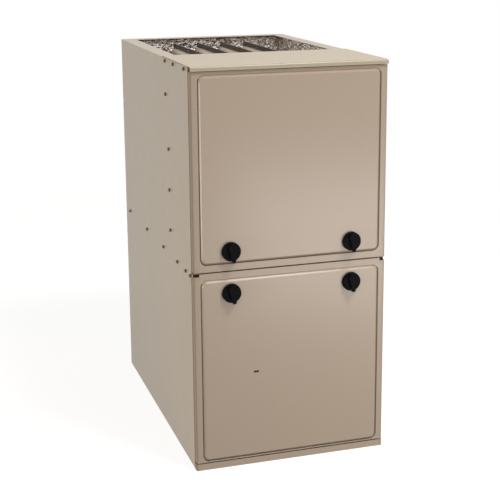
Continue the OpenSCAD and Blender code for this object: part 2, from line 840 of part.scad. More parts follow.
module wiring_harness() {
    z = deck_z;
    at_face() color(BLACK) {
        cord([[harness_x + 4, jbox_y + 40, jbox_z + 0.5], [harness_x + 4, jbox_y + 50, z + 8],
              [harness_x + 4, harness_y, z + 2], [harness_x + 3, harness_y, z - 30],
              [harness_x - 20, box_back_y + 10, z - 60],
              [113.8, box_back_y - 10, z - 110]], 3.5);
        cord([[valve_x, valve_y0 + 59.2, valve_z0 + 12], [valve_x + 12, valve_y0 + 76, valve_z0 - 8],
              [harness_x - 5, harness_y - 6, z + 60], [harness_x - 5, harness_y, z],
              [harness_x - 6, harness_y, z - 34], [90, box_back_y - 20, z - 48],
              [10, box_back_y - 20, z - 120], [0, box_back_y - 17, z - 140]], 3);
        cord([[inducer_x + 40, inducer_y0 - 34, inducer_z - 10],
              [inducer_x + 60, inducer_y0 - 40, inducer_z - 40],
              [70, 70, inducer_z - 110], [104, vestibule_y - 8, inducer_z - 160],
              [harness_x + 1, vestibule_y - 12, burner_z + 20],
              [harness_x + 1, harness_y + 7, z + 40], [harness_x, harness_y + 7, z - 12],
              [harness_x - 14, box_back_y + 16, z - 40], [104, box_back_y + 4.2, z - 80]], 3);
        cord([[motor_x0 + motor_l - 12, blower_y - 50, blower_z + 48.5],
              [motor_x0 + motor_l + 10, blower_y - 90, blower_z + 60],
              [motor_x0 + motor_l + 10, box_back_y + 60, blower_z + 60],
              [100, box_back_y + 4.7, blower_z + 50]], 3.5);
    }
}

module door_switch() {
    y0 = rail_y + rail_t;
    at_face() color(BLACK) difference() {
        union() {
            translate([switch_x - 14, y0, switch_z - 14]) cube([28, 26, 20.5]);
            for (s = [-1, 1]) translate([switch_x + s * 7 - 3, y0 + 25, switch_z - 8])
                cube([6, 9, 0.8]);
        }
        translate([switch_x, y0 - 1, switch_z]) rotate([-90, 0, 0])
            cylinder(r = plunger_r + button_play, h = 18);
    }
}

// The plunger rests against the back of the lower door's raised panel
module door_switch_plunger() {
    y0 = t + 0.3 - panel_rise;
    at_face() color(WHITE) translate([switch_x, y0, switch_z]) rotate([-90, 0, 0])
        cylinder(r = plunger_r, h = rail_y + rail_t + 14 - y0);
}

// ---------- blower ----------

// Stands a flat scroll outline up: its outlet goes to +Z at the back, its thickness along X
module stand_scroll(x0) {
    translate([x0, blower_y, blower_z]) rotate([0, -90, 180]) children();
}

module blower_outline(g = 0, extra = 0) {
    volute_2d(blower_r0, blower_step, blower_duct, deck_z - t - blower_z + extra, g);
}

module blower_side() {
    at_face() color(STEEL) {
        stand_scroll(blower_w / 2 - blower_t) {
            linear_extrude(blower_t) difference() {
                blower_outline();
                circle(0.8 * wheel_r);
            }
            rotate_extrude() translate([0.8 * wheel_r, -6]) difference() {
                square([7, 6 + blower_t]);
                translate([7, 0]) circle(5.8);
            }
        }
        translate([blower_w / 2 - blower_t, duct_y1 - blower_duct, deck_z - t - blower_t])
            cube([14, blower_duct, blower_t]);
    }
}

module blower_side_right() {
    blower_side();
}

module blower_side_left() {
    mirror([1, 0, 0]) blower_side();
}

module blower_scroll() {
    at_face() color(STEEL) stand_scroll(-blower_w / 2 + blower_t)
        linear_extrude(blower_w - 2 * blower_t) difference() {
            blower_outline();
            blower_outline(blower_t, 1);
        }
}

module blower_motor() {
    at_face() color(GREY) difference() {
        turned_x([motor_x0, blower_y, blower_z])
            polygon([[0, 0], [18, 0], [20, 6], [60, 8], [motor_r, 18], [motor_r, motor_l - 18],
                     [60, motor_l - 8], [20, motor_l - 6], [18, motor_l], [0, motor_l]]);
        translate([motor_x0 - 1, blower_y, blower_z]) rotate([0, 90, 0])
            cylinder(r = blower_shaft_r + stem_play, h = 51);
    }
}

module blower_motor_arms() {
    x0 = blower_w / 2;
    band_x = motor_x0 + motor_l - 42;
    reach = 0.8 * wheel_r + 14;
    at_face() color(STEEL) translate([0, blower_y, blower_z]) {
        translate([band_x, 0, 0]) rotate([0, 90, 0]) difference() {
            cylinder(r = motor_r + 2, h = 20);
            translate([0, 0, -1]) cylinder(r = motor_r, h = 22);
        }
        for (a = [60:120:300]) rotate([a, 0, 0]) {
            translate([band_x, -9, motor_r + 1]) cube([x0 - band_x + 2, 18, 2.5]);
            translate([x0, -9, motor_r + 1]) cube([2.5, 18, reach - motor_r]);
        }
    }
}

module blower_shaft() {
    at_face() color(STEEL) translate([-14, blower_y, blower_z]) rotate([0, 90, 0])
        cylinder(r = blower_shaft_r, h = 76);
}

// Forward curved blade between the wheel's bore and its rim: an arc of sheet
module blade_2d(inner_r, outer_r) {
    chord = outer_r - inner_r;
    r = 0.62 * chord;
    translate([(inner_r + outer_r) / 2, -0.3 * r]) difference() {
        intersection() {
            circle(r, $fn = 24);
            translate([-chord / 2, 0]) square([chord, r]);
        }
        circle(r - blade_t, $fn = 24);
    }
}

module blower_wheel() {
    ring_w = 5;
    inner_r = 0.84 * wheel_r;
    at_face() color(STEEL) translate([0, blower_y, blower_z]) rotate([0, 90, 0]) difference() {
        union() {
            for (x = [-wheel_w / 2, wheel_w / 2 - ring_w]) translate([0, 0, x]) difference() {
                cylinder(r = wheel_r, h = ring_w);
                translate([0, 0, -1]) cylinder(r = wheel_r - 3, h = ring_w + 2);
            }
            translate([0, 0, -1]) cylinder(r = wheel_r - 1, h = 2);
            translate([0, 0, -14]) cylinder(r = 16, h = 26);
            translate([0, 0, -wheel_w / 2 + 1]) linear_extrude(wheel_w - 2)
                for (k = [0:blade_count - 1]) rotate(k * 360 / blade_count)
                    blade_2d(inner_r, wheel_r - 0.5);
        }
        translate([0, 0, -20]) cylinder(r = blower_shaft_r, h = 40);
    }
}

module blower_capacitor() {
    at_face() color(GREY) translate([-blower_w / 2 - 22, blower_y + 120, deck_z - 150]) {
        cylinder(r = 20, h = 80);
        translate([-9, -21, 30]) cube([31, 42, 12]);
    }
}

// ---------- doors ----------

door_w = casing_w - 2 * door_inset;
sight_x = -83;
sight_z = 220;
joint_border = 16;
top_border = 6;
foot_border = 2;
bevel_w = 5;
groove_d = 1.7;
groove_w = 0.8;
foot_w = 1.5;
shoulder = bevel_w + groove_w + foot_w;

// Section of the sheet from a raised panel, out along x: rounded off, sloped down into a
// narrow groove and up again to the border; y points at the viewer
module shoulder_2d() {
    lap = 0.3;
    ease = 0.3;
    face = [[-lap, panel_rise], [0, panel_rise], [3 * ease, panel_rise - ease],
            [bevel_w - 2 * ease, 2 * ease - groove_d], [bevel_w, -groove_d],
            [bevel_w + groove_w, -groove_d], [shoulder - ease, -ease], [shoulder, 0],
            [shoulder + lap, 0]];
    back = [for (i = [len(face) - 1:-1:0]) face[i] - [0, t]];
    polygon(concat(face, back));
}

module raised_panel(w, h) {
    ax = w / 2 - shoulder;
    az = h / 2 - shoulder;
    rc = panel_corner_r - shoulder;
    plate_xz(-panel_rise, t) rounded_rect(2 * ax, 2 * az, rc);
    for (sx = [0, 1], sz = [0, 1]) mirror([sx, 0, 0]) mirror([0, 0, sz])
        translate([ax - rc, 0, az - rc]) rotate([90, 0, 0])
            rotate_extrude(angle = 90) translate([rc, 0]) shoulder_2d();
    for (k = [0:3]) rotate([0, -90 * k, 0])
        translate([k % 2 == 0 ? ax : az, 0, 0])
            linear_extrude(2 * ((k % 2 == 0 ? az : ax) - rc), center = true)
            mirror([0, 1]) shoulder_2d();
}

// Door pan between two heights, with its raised panel between two others
module door_pan(z0, z1, p0, p1) {
    w = door_w - 2 * panel_border;
    difference() {
        union() {
            translate([0, 0, z0]) linear_extrude(z1 - z0) channel_2d(door_w, door_depth, bend_r);
            for (z = [z0, z1 - t]) translate([-door_w / 2 + bend_r, t / 2, z])
                cube([door_w - 2 * bend_r, 12, t]);
        }
        translate([0, 0, (p0 + p1) / 2]) plate_xz(-1, t + 1.5)
            rounded_rect(w, p1 - p0, panel_corner_r);
    }
    translate([0, 0, (p0 + p1) / 2]) raised_panel(w, p1 - p0);
}

module knob_holes(z) {
    for (s = [-1, 1]) translate([s * knob_half_span, 0, z]) rotate([90, 0, 0])
        cylinder(r = stem_r + stem_play, h = 20, center = true);
}

module upper_door() {
    at_face() color(DOOR_TAN) difference() {
        door_pan(joint_z + door_gap, upper_top_z, joint_z + joint_border, upper_top_z - top_border);
        knob_holes(upper_knob_z);
    }
}

module lower_door() {
    z1 = joint_z - door_gap;
    at_face() color(DOOR_TAN) difference() {
        door_pan(lower_bottom_z, z1, lower_bottom_z + foot_border, joint_z - joint_border);
        knob_holes(lower_knob_z);
        both_sides() translate([door_w / 2 - 12, -1, z1 - 6]) cube([20, 9, 10]);
        for (s = [-1, 1]) translate([sight_x + 3.2 * s, 0, sight_z]) rotate([90, 0, 0])
            cylinder(r = 2.6, h = 20, center = true, $fn = 32);
    }
}

module door_knob() {
    rim = knob_d / 2;
    tip = rim + 4.5;
    rotate([90, 0, 0]) {
        rotate_extrude() polygon([[0, 0], [rim, 0], [rim, knob_h - 2], [rim - 0.6, knob_h - 0.6],
                                  [rim - 2, knob_h], [0, knob_h]]);
        rotate(pointer_angle) {
            linear_extrude(knob_h - 3)
                polygon([[-6, -rim + 3], [6, -rim + 3], [3.5, -tip], [-3.5, -tip]]);
            translate([0, 0, knob_h - 1]) linear_extrude(grip_h + 1)
                rounded_rect(11, knob_d - 8, 5);
        }
    }
    rotate([-90, 0, 0]) translate([0, 0, -1])
        cylinder(r = stem_r, h = ear_y + ear_t + panel_rise + 1);
}

// Ear direction: 1 points to +X, -1 to -X; both stand clear of the rail until turned
module knob_at(side, z, ear) {
    at_face() color(BLACK) translate([side * knob_half_span, -panel_rise - 0.3, z]) {
        door_knob();
        translate([0, ear_y + panel_rise + 0.3, -ear_w / 2]) mirror([ear < 0 ? 1 : 0, 0, 0])
            cube([ear_l, ear_t, ear_w]);
    }
}

module knob_upper_left() { knob_at(-1, upper_knob_z, 1); }
module knob_upper_right() { knob_at(1, upper_knob_z, 1); }
module knob_lower_left() { knob_at(-1, lower_knob_z, -1); }
module knob_lower_right() { knob_at(1, lower_knob_z, -1); }

// ---------- nodes ----------

casing_wrap();
base_pan();
base_rail();
top_front_panel();
centre_rail();
blower_deck();
vestibule_panel();
for (i = [1:CELLS])
    heat_exchanger_cell(i);
foil_insulation_left();
foil_insulation_right();
foil_insulation_back();
collector_box();
inducer_housing();
inducer_motor();
inducer_shaft();
inducer_wheel();
vent_collar();
burner_box();
for (i = [1:CELLS])
    burner(i);
gas_manifold();
gas_orifices();
gas_valve();
gas_valve_switch();
igniter();
flame_sensor();
rollout_switch_left();
rollout_switch_right();
rollout_button_left();
rollout_button_right();
limit_switch();
pressure_switch();
pressure_hose();
control_box();
control_board();
transformer();
junction_box();
wiring_harness();
door_switch();
door_switch_plunger();
blower_side_left();
blower_side_right();
blower_scroll();
blower_motor();
blower_motor_arms();
blower_shaft();
blower_wheel();
blower_capacitor();
casing_screws();
upper_door();
lower_door();
knob_upper_left();
knob_upper_right();
knob_lower_left();
knob_lower_right();
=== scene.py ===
"""Looks of the forced air gas furnace.

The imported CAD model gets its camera, studio and materials here. The foil facings, the wires and the
pressure hose are made here in place of their plain CAD solids. Blender's lengths are metres. Places are
in part.scad's millimetres where a comment says so.
"""
import json
import math
import random

import bmesh
import bpy
from mathutils import Matrix, Vector, geometry


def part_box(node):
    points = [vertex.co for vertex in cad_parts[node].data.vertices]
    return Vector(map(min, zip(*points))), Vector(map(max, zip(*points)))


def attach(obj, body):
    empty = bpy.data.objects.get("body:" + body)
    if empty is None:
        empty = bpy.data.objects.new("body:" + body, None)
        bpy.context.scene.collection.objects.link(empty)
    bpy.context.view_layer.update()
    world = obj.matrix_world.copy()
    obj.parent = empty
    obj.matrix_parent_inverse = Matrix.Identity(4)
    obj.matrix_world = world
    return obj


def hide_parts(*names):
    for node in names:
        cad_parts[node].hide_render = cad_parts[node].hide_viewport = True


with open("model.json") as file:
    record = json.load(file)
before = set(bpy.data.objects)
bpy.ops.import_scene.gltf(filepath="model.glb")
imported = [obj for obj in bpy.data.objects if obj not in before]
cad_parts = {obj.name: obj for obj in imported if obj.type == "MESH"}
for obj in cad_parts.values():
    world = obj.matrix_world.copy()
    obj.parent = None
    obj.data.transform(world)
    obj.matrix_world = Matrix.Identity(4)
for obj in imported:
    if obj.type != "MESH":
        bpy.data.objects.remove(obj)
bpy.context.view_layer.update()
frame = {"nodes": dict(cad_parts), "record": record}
bpy.context.scene.view_settings.view_transform = "Standard"

MM = 0.001
# The doors' flat border, from which part.scad counts its depths, in millimetres
DOOR_FACE_Y = -352


# ---------- camera ----------

# Fitted to the seven cabinet corners that the photograph shows
PHOTO_PX = 500
SENSOR_MM = 36
CAMERA_PLACE = (-0.820, -2.7115, 1.1697)
CAMERA_TURN = math.radians(17.50)
CAMERA_DOWN = math.radians(12.78)
CAMERA_ROLL = math.radians(-0.37)
FOCAL_PX = 1181
CENTRE_PX = (258, 200)


def make_camera():
    flat = Vector((math.sin(CAMERA_TURN), math.cos(CAMERA_TURN), 0))
    ahead = flat * math.cos(CAMERA_DOWN) - Vector((0, 0, math.sin(CAMERA_DOWN)))
    right = Vector((flat.y, -flat.x, 0))
    up = right.cross(ahead)
    side = math.cos(CAMERA_ROLL) * right + math.sin(CAMERA_ROLL) * up
    top = math.cos(CAMERA_ROLL) * up - math.sin(CAMERA_ROLL) * right
    data = bpy.data.cameras.new("camera")
    data.sensor_width = SENSOR_MM
    data.lens = SENSOR_MM * FOCAL_PX / PHOTO_PX
    data.shift_x = (PHOTO_PX / 2 - CENTRE_PX[0]) / PHOTO_PX
    data.shift_y = (CENTRE_PX[1] - PHOTO_PX / 2) / PHOTO_PX
    camera = bpy.data.objects.new("camera", data)
    bpy.context.collection.objects.link(camera)
    turn = Matrix((side, top, -ahead)).transposed().to_4x4()
    camera.matrix_world = Matrix.Translation(CAMERA_PLACE) @ turn
    bpy.context.scene.camera = camera


# ---------- node helpers ----------

# Most values of a noise texture lie between these
NOISE_LOW, NOISE_HIGH = 0.3, 0.7
# Half the width of the soft edge between two finishes
SOFT_EDGE = 0.2 * MM


def shaded(color, factor):
    return tuple(min(1, c * factor) for c in color)


class Material:
    """A Principled material with short calls for the nodes that this scene uses."""

    def __init__(self, name, color, roughness, metallic=0.0):
        self.data = bpy.data.materials.new(name)
        self.data.use_nodes = True
        self.tree = self.data.node_tree
        self.shader = self.tree.nodes["Principled BSDF"]
        self.color = color
        self.shader.inputs["Base Color"].default_value = (*color, 1)
        self.shader.inputs["Roughness"].default_value = roughness
        self.shader.inputs["Metallic"].default_value = metallic
        self.place = self.node("ShaderNodeTexCoord").outputs["Object"]

    def node(self, kind, **settings):
        made = self.tree.nodes.new(kind)
        for key, value in settings.items():
            setattr(made, key, value)
        return made

    def link(self, output, target):
        self.tree.links.new(output, target)

    def noise(self, size_mm, detail=3, distortion=0.0):
        """Noise with features of about this size."""
        made = self.node("ShaderNodeTexNoise")
        made.inputs["Scale"].default_value = 1000 / size_mm
        made.inputs["Detail"].default_value = detail
        made.inputs["Distortion"].default_value = distortion
        self.link(self.place, made.inputs["Vector"])
        return made.outputs["Fac"]

    def cells(self, size_mm, output="Distance"):
        """Voronoi cells of about this size."""
        made = self.node("ShaderNodeTexVoronoi")
        made.inputs["Scale"].default_value = 1000 / size_mm
        self.link(self.place, made.inputs["Vector"])
        return made.outputs[output]

    def axis(self, name):
        parts = self.node("ShaderNodeSeparateXYZ")
        self.link(self.place, parts.inputs[0])
        return parts.outputs[name]

    def ramp(self, factor, stops):
        made = self.node("ShaderNodeValToRGB")
        elements = made.color_ramp.elements
        while len(elements) < len(stops):
            elements.new(0.5)
        for element, (position, color) in zip(elements, stops):
            element.position = position
            element.color = (*color, 1)
        self.link(factor, made.inputs["Fac"])
        return made.outputs["Color"]

    def span(self, factor, low, high, from_low=NOISE_LOW, from_high=NOISE_HIGH):
        """A value that goes from low to high while the factor goes from from_low to from_high."""
        made = self.node("ShaderNodeMapRange")
        for socket, value in (("From Min", from_low), ("From Max", from_high),
                              ("To Min", low), ("To Max", high)):
            made.inputs[socket].default_value = value
        self.link(factor, made.inputs["Value"])
        return made.outputs["Result"]

    def step(self, value, edge, below=0, above=1):
        """One number below the edge and another above it."""
        return self.span(value, below, above, edge - SOFT_EDGE, edge + SOFT_EDGE)

    def calculate(self, operation, *outputs):
        made = self.node("ShaderNodeMath", operation=operation)
        for socket, output in zip(made.inputs, outputs):
            self.link(output, socket)
        return made.outputs[0]

    def blend(self, socket, mask, value):
        """Give the shader's socket the value where mask is 1 and leave it as it was elsewhere."""
        target = self.shader.inputs[socket]
        is_color = isinstance(value, tuple)
        made = self.node("ShaderNodeMix", data_type="RGBA" if is_color else "FLOAT")
        before, after = (s for s in made.inputs if s.enabled and s.name in ("A", "B"))
        self.link(mask, made.inputs["Factor"])
        if target.is_linked:
            self.link(target.links[0].from_socket, before)
        else:
            before.default_value = target.default_value
        after.default_value = (*value, 1) if is_color else value
        self.link(next(s for s in made.outputs if s.enabled), target)

    def zone(self, low, high, color, roughness, metallic):
        """Another finish inside a box whose corners are in part.scad's millimetres, None for no limit."""
        sides = []
        for name, shift, first, last in zip("XYZ", (0, DOOR_FACE_Y, 0), low, high):
            if first is not None:
                sides.append(self.step(self.axis(name), (first + shift) * MM))
            if last is not None:
                sides.append(self.step(self.axis(name), (last + shift) * MM, 1, 0))
        mask = sides[0]
        for side in sides[1:]:
            mask = self.calculate("MULTIPLY", mask, side)
        self.blend("Base Color", mask, color)
        self.blend("Roughness", mask, roughness)
        self.blend("Metallic", mask, metallic)

    def paint(self, output):
        self.link(output, self.shader.inputs["Base Color"])
        return self

    def rough(self, output):
        self.link(output, self.shader.inputs["Roughness"])
        return self

    def bump(self, height, depth_mm, strength=1.0):
        made = self.node("ShaderNodeBump")
        made.inputs["Strength"].default_value = strength
        made.inputs["Distance"].default_value = depth_mm * MM
        self.link(height, made.inputs["Height"])
        before = self.shader.inputs["Normal"]
        if before.is_linked:
            self.link(before.links[0].from_socket, made.inputs["Normal"])
        self.link(made.outputs["Normal"], before)
        return self

    def mottled(self, size_mm, amount, detail=3):
        """The base colour, a little darker and lighter over the surface."""
        return self.paint(self.ramp(self.noise(size_mm, detail), [
            (NOISE_LOW, shaded(self.color, 1 - amount)), (NOISE_HIGH, shaded(self.color, 1 + amount))]))


# ---------- materials ----------

CASING_COLOR = (0.512, 0.385, 0.225)
DOOR_COLOR = (0.505, 0.388, 0.290)
PAINT_ROUGHNESS = 0.30

# Finishes of the zones below: colour, roughness, how metallic
# Painted light: the top panel's front lip lighter and paler than the casing paint
LIP_PAINTED_LIGHT = ((0.545, 0.455, 0.325), PAINT_ROUGHNESS, 0.0)
# Painted shade: door paint darkened to a third down in the panels' grooves
GROOVE_PAINTED_SHADE = (shaded(DOOR_COLOR, 0.3), 0.6, 0.0)
# Painted shade: the doors' outer bends a little darker and rougher, which holds down their highlight
DOOR_EDGE_PAINTED_SHADE = (shaded(DOOR_COLOR, 0.85), 0.7, 0.0)
TIN = ((0.52, 0.50, 0.46), 0.3, 1.0)
ZINC = ((0.50, 0.50, 0.49), 0.38, 0.85)
DARK = ((0.012, 0.012, 0.013), 0.45, 0.0)
NYLON = ((0.68, 0.66, 0.60), 0.4, 0.0)
WINDING = ((0.30, 0.16, 0.04), 0.45, 0.0)
CARBIDE = ((0.05, 0.05, 0.055), 0.6, 0.0)
# Painted shade: the cells' seam flanges near black brown
SEAM_PAINTED_SHADE = ((0.105, 0.075, 0.055), 0.5, 0.4)
BLUE_CASE = ((0.012, 0.03, 0.13), 0.35, 0.0)
BLUE_SLEEVE = ((0.01, 0.012, 0.05), 0.35, 0.0)
PURPLE_FUSE = ((0.16, 0.03, 0.20), 0.3, 0.0)
RED_LENS = ((0.55, 0.02, 0.015), 0.25, 0.0)

# Corner of a zone that has no limit
ANYWHERE = (None, None, None)

# Places on the doors in part.scad's millimetres: the joint between them, the half width of the grooves,
# the depths that their painted shade covers, and the heights between which the painted shade stays
JOINT_Z = 455.5
GROOVE_X = 207.45
GROOVE_Y = (0.7, 2.8)
LOWER_SHADE_Z = (None, JOINT_Z - 24)
UPPER_SHADE_Z = (JOINT_Z + 16, 874.5)
# The doors' outer bends, and where the gloss fades before them
EDGE_X = 219
GLOSS_END_X = (213, 218)
# Painted shade: a dark patch that joins the two sight holes
SIGHT_PAINTED_SHADE = ((-86.9, None, 217.8), (-79.1, -2, 222.4))
# Slopes at which the borders' shading leans, and the millimetres over which it does
SIDE_LEAN, SIDE_LEAN_WIDTH = 0.14, 14
JOINT_LEAN, JOINT_LEAN_HEIGHT = 0.06, 32
DOOR_GLOSS, DOOR_GLOSS_ROUGHNESS = 0.35, 0.21


def zoned(made, *zones):
    """Each zone is its low corner, its high corner and its finish."""
    for low, high, finish in zones:
        made.zone(low, high, *finish)
    return made


def painted_steel(name, color, roughness=PAINT_ROUGHNESS):
    """Powder coat: fine orange peel, slight drift of tone and gloss."""
    made = Material(name, color, roughness)
    made.mottled(60, 0.006)
    made.rough(made.span(made.noise(25), roughness - 0.015, roughness + 0.02))
    made.bump(made.noise(1.6, 2), 0.006, 0.3)
    return made.bump(made.noise(90, 2), 0.2, 0.1)


def door_steel(name):
    """Painted doors: painted shade down in the grooves, borders that lean back a little from the panels."""
    made = painted_steel(name, DOOR_COLOR)
    from_middle = made.calculate("ABSOLUTE", made.axis("X"))
    gloss = made.span(from_middle, DOOR_GLOSS, 0, *(x * MM for x in GLOSS_END_X))
    made.link(gloss, made.shader.inputs["Coat Weight"])
    made.shader.inputs["Coat Roughness"].default_value = DOOR_GLOSS_ROUGHNESS
    side_lean = made.span(from_middle, 0, -SIDE_LEAN * SIDE_LEAN_WIDTH,
                          GROOVE_X * MM, (GROOVE_X + SIDE_LEAN_WIDTH) * MM)
    joint_lean = made.span(made.axis("Z"), 0, JOINT_LEAN * JOINT_LEAN_HEIGHT,
                           (JOINT_Z - JOINT_LEAN_HEIGHT / 2) * MM, (JOINT_Z + JOINT_LEAN_HEIGHT / 2) * MM)
    made.bump(made.calculate("ADD", side_lean, joint_lean), 1)
    # Painted shade down in the grooves, left out of each panel's top groove
    for low_z, high_z in (LOWER_SHADE_Z, UPPER_SHADE_Z):
        made.zone((-GROOVE_X, GROOVE_Y[0], low_z), (GROOVE_X, GROOVE_Y[1], high_z), *GROOVE_PAINTED_SHADE)
    return zoned(made,
                 # Painted shade on the doors' outer bends
                 (ANYWHERE, (-EDGE_X, None, None), DOOR_EDGE_PAINTED_SHADE),
                 ((EDGE_X, None, None), ANYWHERE, DOOR_EDGE_PAINTED_SHADE),
                 # Painted shade over the sight holes
                 (*SIGHT_PAINTED_SHADE, DARK))


def galvanised(name):
    """Zinc coat: spangle cells of differing gloss."""
    color = (0.52, 0.52, 0.51)
    made = Material(name, color, 0.36, 0.85)
    grey = made.node("ShaderNodeRGBToBW")
    made.link(made.cells(9, "Color"), grey.inputs[0])
    made.paint(made.ramp(grey.outputs[0], [(0.25, shaded(color, 0.86)), (0.75, shaded(color, 1.12))]))
    made.rough(made.span(grey.outputs[0], 0.28, 0.46))
    return made.bump(made.noise(3, 4), 0.03, 0.4)


def aluminised(name, color=(0.50, 0.46, 0.40)):
    """Hot dip aluminised steel: matte, faint brown patches."""
    made = Material(name, color, 0.42, 0.75)
    warm = tuple(c * f for c, f in zip(color, (0.92, 0.84, 0.74)))
    made.paint(made.ramp(made.noise(38, 5), [(0.35, warm), (0.62, color)]))
    made.rough(made.span(made.noise(7, 4), 0.34, 0.52))
    return made.bump(made.noise(1.4, 4), 0.03, 0.5)


def crinkled_foil(name):
    """Bright foil, warm where it is duller; its larger folds are in the mesh."""
    dull, bright = (0.64, 0.56, 0.50), (0.96, 0.91, 0.86)
    made = Material(name, bright, 0.2, 1.0)
    made.paint(made.ramp(made.noise(14, 4), [(0.36, dull), (0.58, bright)]))
    made.rough(made.span(made.noise(9), 0.16, 0.32))
    made.bump(made.cells(3.2), 1.2, 0.8)
    return made.bump(made.noise(1.6, 4, 1.5), 0.5, 0.8)


def plastic(name, color, roughness=0.42):
    """Moulded plastic: a fine, even grain."""
    made = Material(name, color, roughness)
    made.mottled(8, 0.05)
    made.rough(made.span(made.noise(1.8, 4), roughness - 0.05, roughness + 0.08))
    return made.bump(made.noise(0.45, 2), 0.03, 0.5)


def turned_metal(name, color, roughness=0.25, metallic=1.0):
    """Smooth metal with faint turning marks."""
    made = Material(name, color, roughness, metallic)
    made.mottled(5, 0.06, 5)
    made.rough(made.span(made.noise(2, 5), roughness - 0.06, roughness + 0.1))
    return made.bump(made.noise(0.5, 3), 0.015, 0.5)


def cast_metal(name, color, roughness=0.5, metallic=0.9):
    """Cast or mill finish: coarse grain and blotches."""
    made = Material(name, color, roughness, metallic)
    made.mottled(14, 0.08, 5)
    made.rough(made.span(made.noise(3, 5), roughness - 0.08, roughness + 0.1))
    return made.bump(made.noise(1.2, 5), 0.12, 0.6)


def wire_coat(name, color):
    made = Material(name, color, 0.34)
    made.mottled(9, 0.06)
    return made.bump(made.noise(0.7, 2), 0.02, 0.4)


def rubber(name):
    made = Material(name, (0.03, 0.03, 0.032), 0.6)
    made.mottled(6, 0.12)
    return made.bump(made.noise(0.8, 3), 0.03, 0.4)


MATERIALS = {
    "casing_paint": lambda n: painted_steel(n, CASING_COLOR),
    "door_paint": door_steel,
    "galvanised_steel": galvanised,
    "aluminised_steel": aluminised,
    "steel_bar": lambda n: turned_metal(n, (0.62, 0.62, 0.62)),
    "foil_faced_insulation": crinkled_foil,
    "black_plastic": lambda n: plastic(n, (0.012, 0.012, 0.013), 0.38),
    "white_plastic": lambda n: plastic(n, (0.78, 0.76, 0.70)),
    "red_plastic": lambda n: plastic(n, (0.45, 0.02, 0.012), 0.3),
    "grey_plastic": lambda n: plastic(n, (0.17, 0.18, 0.19)),
    "motor_paint": lambda n: painted_steel(n, (0.028, 0.028, 0.030), 0.4),
    "transformer_steel": lambda n: cast_metal(n, (0.10, 0.10, 0.11), 0.5, 0.6),
    "black_iron": lambda n: cast_metal(n, (0.03, 0.03, 0.03), 0.55, 0.5),
    "brass": lambda n: turned_metal(n, (0.60, 0.42, 0.17), 0.28),
    "cast_aluminium": lambda n: cast_metal(n, (0.55, 0.55, 0.55), 0.45),
    "ceramic": lambda n: plastic(n, (0.76, 0.73, 0.66), 0.6),
    "circuit_board": lambda n: plastic(n, (0.02, 0.13, 0.05), 0.35),
    "rubber": rubber,
}


# The zones' corners are in part.scad's millimetres, just beside the faces where one finish ends

def cell_steel(name):
    """Tubes, and the seam flange above them painted near black as painted shade."""
    return zoned(aluminised(name, (0.50, 0.43, 0.34)), ((None, None, 876.5), ANYWHERE, SEAM_PAINTED_SHADE))


def board_parts(name):
    """Circuit board with what stands on it; the parts' zones end just before its front face."""
    front, back = 120.3, 122.1
    can_low, can_high, can_top = (-123, None, 234), (-94, front, 248), (-94, 106.6, 248)
    return zoned(
        plastic(name, (0.015, 0.12, 0.045), 0.3),
        ((None, back, None), ANYWHERE, NYLON),                           # standoffs
        ((None, None, 274), (None, front, 306), BLUE_CASE),              # relays
        ((-120, None, 188), (-27, front, 206), DARK),                    # terminal strip
        ((-15, None, 194), (9, front, 286), NYLON),                      # harness connector
        ((-126, None, 258.4), (-25, front, 260.4), TIN),                 # spade terminals
        (can_low, can_high, BLUE_SLEEVE), (can_low, can_top, TIN),       # capacitors
        ((-77, None, 212), (-41, front, 226), DARK),                     # processor
        ((-80, None, 308), (-44, front, 321), PURPLE_FUSE),
        ((-87, None, 216), (-79, front, 224), RED_LENS))                 # lamp behind the sight hole


def rollout(name, side):
    """Black switch with a tinned flange and tabs; side is 1 on the right and -1 on the left."""
    plate, tabs = ((124, 126.6), (136.1, None)) if side > 0 else ((-126.6, -124), (None, -136.1))
    return zoned(MATERIALS["black_plastic"](name),
                 ((plate[0], None, None), (plate[1], None, None), TIN),
                 ((tabs[0], None, None), (tabs[1], None, None), TIN))


def knob_plastic(name):
    """Black plastic that reflects little, as the photograph's knobs show no gloss."""
    made = plastic(name, (0.003, 0.003, 0.0035), 0.5)
    made.shader.inputs["Specular IOR Level"].default_value = 0.06
    return made


